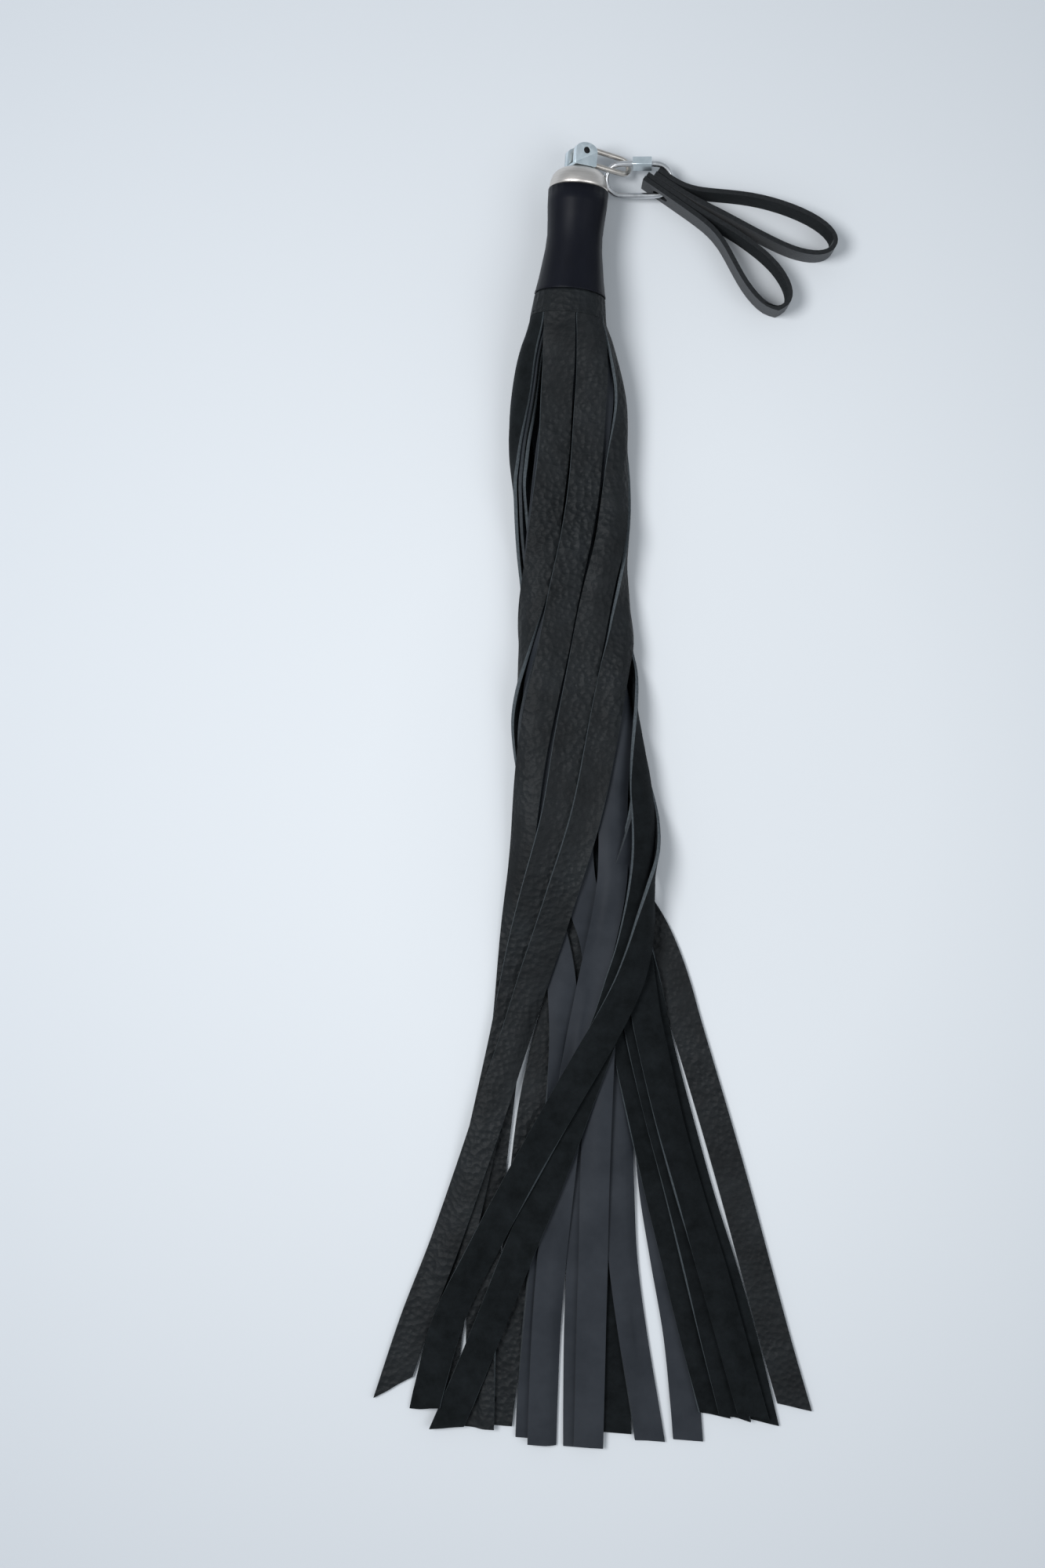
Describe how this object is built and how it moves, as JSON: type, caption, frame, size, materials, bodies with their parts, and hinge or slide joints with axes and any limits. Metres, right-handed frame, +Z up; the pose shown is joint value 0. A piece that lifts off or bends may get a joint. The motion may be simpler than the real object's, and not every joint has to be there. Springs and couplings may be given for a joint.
{
  "type": "swivel flogger",
  "caption": "Short-handled multi-tail whip: leather and rubber falls from a sleeved handle, a ball-bearing swivel, chain link, locking quick link and leather finger loops.",
  "frame": {"origin": "centre of the bounding box's underside, on the surface the part lies on", "axes": "+Y from the falls' tips towards the swivel end, +X towards the finger loops, +Z up from the surface it lies on"},
  "size_m": [0.2534, 0.746, 0.0437],
  "materials": {
    "leather_grain": "smooth grain side, low sheen",
    "leather_flesh": "flesh side, napped and matt",
    "rubber_strip": "smooth sheet rubber, satin",
    "core": "turned, plain",
    "binding": "tight round of waxed thread",
    "sleeve": "shrunk sleeve, satin black",
    "nickel": "satin nickel plate",
    "steel": "plain steel, drawn and turned",
    "zinc": "bright zinc plate",
    "bright_wire": "bright plated wire",
    "strap_leather": "finished outside, napped inside"
  },
  "bodies": {
    "handle": {"fall_leather_a": "leather_grain", "fall_leather_b": "leather_grain", "fall_leather_c": "leather_grain", "fall_leather_d": "leather_grain", "fall_leather_x": "leather_flesh", "fall_leather_y": "leather_flesh", "fall_leather_s1": "leather_flesh", "fall_leather_s2": "leather_flesh", "fall_leather_s3": "leather_flesh", "fall_leather_s4": "leather_flesh", "fall_leather_s5": "leather_flesh", "fall_leather_s6": "leather_flesh", "fall_rubber_r1": "rubber_strip", "fall_rubber_r2": "rubber_strip", "fall_rubber_r3": "rubber_strip", "fall_rubber_r4": "rubber_strip", "fall_rubber_r5": "rubber_strip", "fall_rubber_r6": "rubber_strip", "root_roll_outer": "leather_grain", "root_roll_rubber": "rubber_strip", "root_roll_inner": "leather_flesh", "grip_core": "core", "root_binding": "binding", "grip_sleeve": "sleeve", "swivel_cap": "nickel", "bearing_outer_race": "steel"},
    "cage": {"bearing_ball_cage": "steel"},
    "swivel": {"swivel_stem": "steel", "stem_washer": "steel", "stem_nut": "steel", "bearing_inner_race": "steel", "fork_head": "zinc", "clevis_pin": "steel"},
    "chain": {"chain_link": "steel"},
    "quick": {"quick_link_body": "bright_wire"},
    "nut": {"quick_link_nut": "zinc"},
    "loop_upper": {"finger_loop_upper": "strap_leather"},
    "loop_lower": {"finger_loop_lower": "strap_leather"}
  },
  "joints": [
    {"name": "swivel_spin", "type": "hinge", "parent": "handle", "child": "swivel", "pos_m": [-0.06431, 0.35, 0.022], "axis": [0, 1, 0], "continuous": true},
    {"name": "cage_spin", "type": "hinge", "parent": "handle", "child": "cage", "pos_m": [-0.06431, 0.35, 0.022], "axis": [0, 1, 0], "continuous": true},
    {"name": "link_pivot", "type": "hinge", "parent": "swivel", "child": "chain", "pos_m": [-0.06431, 0.36663, 0.022], "axis": [0.3746, 0, 0.9272], "range_deg": [-2, 120]},
    {"name": "quick_link_swing", "type": "hinge", "parent": "chain", "child": "quick", "pos_m": [-0.03638, 0.36499, 0.00776], "axis": [-0.1037, 0.9442, -0.3125], "range_deg": [-30, 0]},
    {"name": "lock_nut_turn", "type": "hinge", "parent": "quick", "child": "nut", "pos_m": [-0.03122, 0.36669, 0.01271], "axis": [0.9959, 0.064, 0.064], "continuous": true},
    {"name": "loop_upper_swing", "type": "hinge", "parent": "quick", "child": "loop_upper", "pos_m": [-0.01271, 0.35703, 0.0114], "axis": [0.5, 0.866, 0], "range_deg": [-5, 25]},
    {"name": "loop_lower_swing", "type": "hinge", "parent": "quick", "child": "loop_lower", "pos_m": [-0.01481, 0.35303, 0.0094], "axis": [0.5, 0.866, 0], "range_deg": [-15, 8]}
  ],
  "couplings": [
    {"joint": "cage_spin", "follows": "swivel_spin", "ratio": 0.388}
  ]
}
